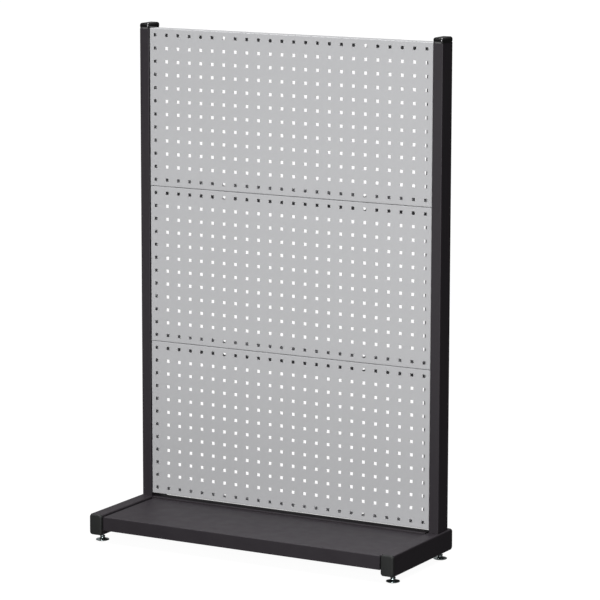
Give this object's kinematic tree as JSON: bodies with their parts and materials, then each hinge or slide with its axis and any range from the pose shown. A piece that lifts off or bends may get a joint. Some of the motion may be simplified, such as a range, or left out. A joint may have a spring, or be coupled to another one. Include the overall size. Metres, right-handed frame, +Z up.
{
  "type": "gondola shelving unit",
  "caption": "Single-sided shop display bay: black tube frame on two levelling feet, stacked perforated grey tray panels between the uprights, low lift-out base deck.",
  "frame": {"origin": "on the floor under the middle of the footprint", "axes": "+Z up, +X to the right of someone facing the bay, front towards -Y"},
  "size_m": [0.984, 0.364, 1.472],
  "materials": {
    "grey_coat": "fine-textured light grey powder coat, matt",
    "black_coat": "fine-textured black powder coat, low sheen",
    "black_plastic": "moulded black polyethylene, lightly textured",
    "zinc": "bright zinc plate",
    "black_zinc": "black zinc plate on fasteners",
    "chrome_pad": "bright plated steel pressing",
    "rubber_sole": "black non-marking sole"
  },
  "bodies": {
    "frame": {"base_crossbar": "black_coat", "panel_bottom": "grey_coat", "panel_middle": "grey_coat", "panel_top": "grey_coat", "foot_left": "black_coat", "foot_nuts_left": "zinc", "upright_left": "black_coat", "upright_cap_left": "black_plastic", "spigot_left": "black_coat", "spigot_bolts_left": "black_zinc", "spigot_nuts_left": "zinc", "panel_bolts_left": "zinc", "rivet_nuts_left": "zinc", "crossbar_plate_left": "black_coat", "crossbar_bolts_left": "black_zinc", "bracket_bolts_left": "black_zinc", "foot_cap_front_left": "black_plastic", "deck_bracket_front_left": "black_coat", "lock_nut_front_left": "zinc", "weld_nut_front_left": "zinc", "foot_cap_rear_left": "black_plastic", "deck_bracket_rear_left": "black_coat", "lock_nut_rear_left": "zinc", "weld_nut_rear_left": "zinc", "foot_right": "black_coat", "foot_nuts_right": "zinc", "upright_right": "black_coat", "upright_cap_right": "black_plastic", "spigot_right": "black_coat", "spigot_bolts_right": "black_zinc", "spigot_nuts_right": "zinc", "panel_bolts_right": "zinc", "rivet_nuts_right": "zinc", "crossbar_plate_right": "black_coat", "crossbar_bolts_right": "black_zinc", "bracket_bolts_right": "black_zinc", "foot_cap_front_right": "black_plastic", "deck_bracket_front_right": "black_coat", "lock_nut_front_right": "zinc", "weld_nut_front_right": "zinc", "foot_cap_rear_right": "black_plastic", "deck_bracket_rear_right": "black_coat", "lock_nut_rear_right": "zinc", "weld_nut_rear_right": "zinc"},
    "deck": {"deck": "black_coat", "deck_stiffener": "black_coat"},
    "leveller_front_left": {"leveller_pad_front_left": "chrome_pad", "leveller_sole_front_left": "rubber_sole"},
    "stud_front_left": {"leveller_stud_front_left": "zinc"},
    "leveller_rear_left": {"leveller_pad_rear_left": "chrome_pad", "leveller_sole_rear_left": "rubber_sole"},
    "stud_rear_left": {"leveller_stud_rear_left": "zinc"},
    "leveller_front_right": {"leveller_pad_front_right": "chrome_pad", "leveller_sole_front_right": "rubber_sole"},
    "stud_front_right": {"leveller_stud_front_right": "zinc"},
    "leveller_rear_right": {"leveller_pad_rear_right": "chrome_pad", "leveller_sole_rear_right": "rubber_sole"},
    "stud_rear_right": {"leveller_stud_rear_right": "zinc"}
  },
  "joints": [
    {"name": "deck_lift", "type": "slide", "parent": "frame", "child": "deck", "axis": [0, 0, 1], "range_m": [0, 0.1]},
    {"name": "level_front_left", "type": "slide", "parent": "frame", "child": "leveller_front_left", "axis": [0, 0, 1], "range_m": [-0.015, 0.0025]},
    {"name": "turn_front_left", "type": "hinge", "parent": "leveller_front_left", "child": "stud_front_left", "pos_m": [-0.472, -0.1435, 0.0105], "axis": [0, 0, 1], "range_deg": [-4321, 721]},
    {"name": "level_rear_left", "type": "slide", "parent": "frame", "child": "leveller_rear_left", "axis": [0, 0, 1], "range_m": [-0.015, 0.0025]},
    {"name": "turn_rear_left", "type": "hinge", "parent": "leveller_rear_left", "child": "stud_rear_left", "pos_m": [-0.472, 0.1435, 0.0105], "axis": [0, 0, 1], "range_deg": [-4321, 721]},
    {"name": "level_front_right", "type": "slide", "parent": "frame", "child": "leveller_front_right", "axis": [0, 0, 1], "range_m": [-0.015, 0.0025]},
    {"name": "turn_front_right", "type": "hinge", "parent": "leveller_front_right", "child": "stud_front_right", "pos_m": [0.472, -0.1435, 0.0105], "axis": [0, 0, 1], "range_deg": [-4321, 721]},
    {"name": "level_rear_right", "type": "slide", "parent": "frame", "child": "leveller_rear_right", "axis": [0, 0, 1], "range_m": [-0.015, 0.0025]},
    {"name": "turn_rear_right", "type": "hinge", "parent": "leveller_rear_right", "child": "stud_rear_right", "pos_m": [0.472, 0.1435, 0.0105], "axis": [0, 0, 1], "range_deg": [-4321, 721]}
  ],
  "couplings": [
    {"joint": "turn_front_left", "follows": "level_front_left", "rad_per_m": 5026.5},
    {"joint": "turn_rear_left", "follows": "level_rear_left", "rad_per_m": 5026.5},
    {"joint": "turn_front_right", "follows": "level_front_right", "rad_per_m": 5026.5},
    {"joint": "turn_rear_right", "follows": "level_rear_right", "rad_per_m": 5026.5}
  ]
}
